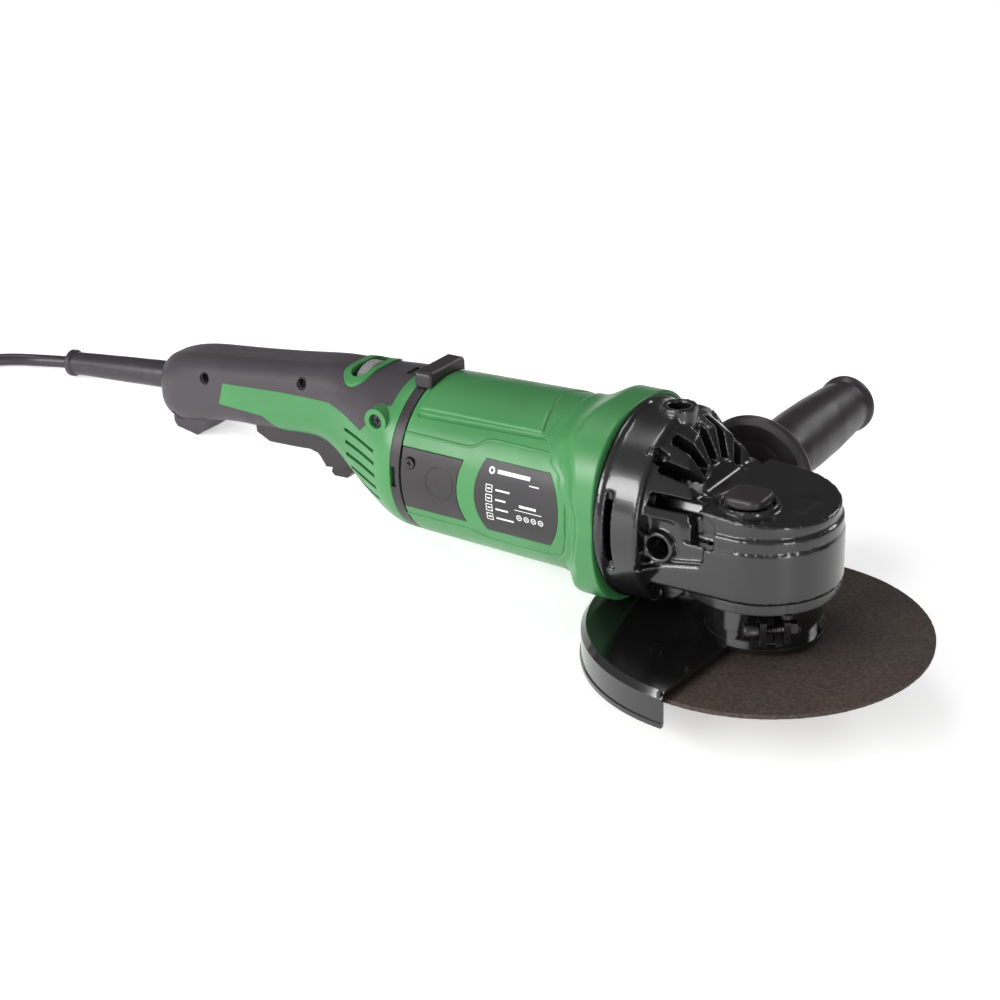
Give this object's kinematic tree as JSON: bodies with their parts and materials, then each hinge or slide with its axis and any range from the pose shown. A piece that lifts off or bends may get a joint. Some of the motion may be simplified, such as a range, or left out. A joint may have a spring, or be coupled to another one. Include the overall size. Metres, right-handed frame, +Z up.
{
  "type": "angle grinder",
  "caption": "Two-handed corded angle grinder with a turning rear handle, paddle switch, side handle, guard and abrasive disc, standing on guard and handle heel.",
  "frame": {"origin": "centre of the base of the grinder's box, on the floor it stands on, without its cord", "axes": "+X towards the nose, level; +Z up; the motor axis lies in the XZ plane's direction and slopes 11 degrees up towards the nose; side handle on the +Y side"},
  "size_m": [0.7216, 0.3218, 0.1394],
  "materials": {
    "black_gloss_paint": "glossy black paint",
    "black_cast_head": "die casting under glossy black paint",
    "green_plastic": "satin moulded plastic",
    "soft_grip": "matt soft-touch overmould",
    "dark_plastic": "satin moulded plastic",
    "plate_black": "glossy black plate with plain white markings",
    "dial_grey": "satin grey plastic with moulded ribs",
    "abrasive": "dark brown resin-bonded grit",
    "bright_steel": "ground steel",
    "black_steel": "blackened steel",
    "laminated_steel": "stacked laminations",
    "copper": "enamelled copper",
    "brass": "drawn brass",
    "carbon": "pressed carbon",
    "board": "lacquered circuit board",
    "cable_black": "satin rubber sheath",
    "plug_black": "satin moulded plug",
    "plug_metal": "nickel-plated",
    "tie_black": "hook-and-loop strap"
  },
  "bodies": {
    "root": {"motor_housing": "green_plastic", "rotation_ring": "dark_plastic", "air_baffle": "dark_plastic", "stator_core": "laminated_steel", "field_coils": "copper", "brush_holders": "brass", "carbon_brushes": "carbon", "brush_springs": "bright_steel", "brush_covers": "dark_plastic", "brush_cover_screws": "black_steel", "rating_plates": "plate_black", "gear_housing": "black_cast_head", "bearing_flange": "black_cast_head", "bearing_flange_screws": "black_steel", "flange_screws": "black_steel", "lower_spindle_bearing": "bright_steel", "upper_spindle_bearing": "bright_steel", "front_motor_bearing": "bright_steel", "rear_motor_bearing": "bright_steel", "side_handle_grip": "dark_plastic", "side_handle_stud": "bright_steel", "lock_spring": "bright_steel"},
    "armature": {"armature_shaft": "bright_steel", "pinion": "bright_steel", "pinion_nut": "bright_steel", "fan": "dark_plastic", "armature_core": "laminated_steel", "armature_windings": "copper", "commutator": "copper"},
    "spindle": {"spindle": "bright_steel", "crown_gear": "bright_steel", "inner_flange": "bright_steel", "clamping_nut": "black_steel", "grinding_disc": "abrasive"},
    "guard": {"guard_shell": "black_gloss_paint", "guard_clamp_band": "black_gloss_paint", "guard_clamp_bolt": "black_steel", "guard_clamp_nut": "black_steel"},
    "spindle_lock": {"lock_button": "dark_plastic", "lock_pin": "bright_steel"},
    "rear_handle": {"handle_shell_right": "green_plastic", "handle_shell_left": "green_plastic", "handle_skin_right": "soft_grip", "handle_skin_left": "soft_grip", "dial_bezel": "green_plastic", "control_board": "board", "switch_module": "dark_plastic", "trigger_spring": "bright_steel", "handle_screws": "black_steel", "cord_clamp": "dark_plastic", "strain_relief": "cable_black", "cord_lead": "cable_black", "cord_coil": "cable_black", "cord_tie": "tie_black", "cord_plug": "plug_black", "plug_pins": "plug_metal"},
    "handle_latch": {"handle_latch": "dark_plastic"},
    "trigger": {"trigger_paddle": "dark_plastic"},
    "lock_off": {"lock_off_lever": "dark_plastic"},
    "speed_dial": {"speed_dial": "dial_grey"}
  },
  "joints": [
    {"name": "armature_spin", "type": "hinge", "parent": "root", "child": "armature", "pos_m": [0.14697, -0.0454, 0.09257], "axis": [0.9816, 0, 0.1908], "continuous": true},
    {"name": "spindle_spin", "type": "hinge", "parent": "root", "child": "spindle", "pos_m": [0.1587, -0.0454, 0.0322], "axis": [-0.1908, 0, 0.9816], "continuous": true},
    {"name": "guard_turn", "type": "hinge", "parent": "root", "child": "guard", "pos_m": [0.1587, -0.0454, 0.0322], "axis": [-0.1908, 0, 0.9816], "range_deg": [-90, 90]},
    {"name": "spindle_lock_press", "type": "slide", "parent": "root", "child": "spindle_lock", "axis": [0.1908, 0, -0.9816], "range_m": [0, 0.003], "stiffness_N_per_m": 500, "springref_m": -0.004, "deforming": ["lock_spring"]},
    {"name": "rear_handle_turn", "type": "hinge", "parent": "root", "child": "rear_handle", "pos_m": [-0.05918, -0.0454, 0.0525], "axis": [0.9816, 0, 0.1908], "range_deg": [-90, 90]},
    {"name": "handle_latch_release", "type": "slide", "parent": "rear_handle", "child": "handle_latch", "axis": [-0.9816, 0, -0.1908], "range_m": [0, 0.004], "stiffness_N_per_m": 600, "springref_m": -0.005},
    {"name": "trigger_press", "type": "hinge", "parent": "rear_handle", "child": "trigger", "pos_m": [-0.16773, -0.0454, 0.03446], "axis": [0, -1, 0], "range_deg": [0, 6], "stiffness_Nm_per_rad": 2, "springref_deg": -14.32, "deforming": ["trigger_spring"]},
    {"name": "lock_off_pull", "type": "hinge", "parent": "trigger", "child": "lock_off", "pos_m": [-0.1136, -0.0454, 0.03377], "axis": [0, 1, 0], "range_deg": [0, 22], "stiffness_Nm_per_rad": 0.15, "springref_deg": -17.19},
    {"name": "speed_dial_turn", "type": "hinge", "parent": "rear_handle", "child": "speed_dial", "pos_m": [-0.09907, -0.0454, 0.07276], "axis": [0.9816, 0, 0.1908], "range_deg": [-135, 135]}
  ],
  "couplings": [
    {"joint": "spindle_spin", "follows": "armature_spin", "ratio": -0.2973}
  ]
}
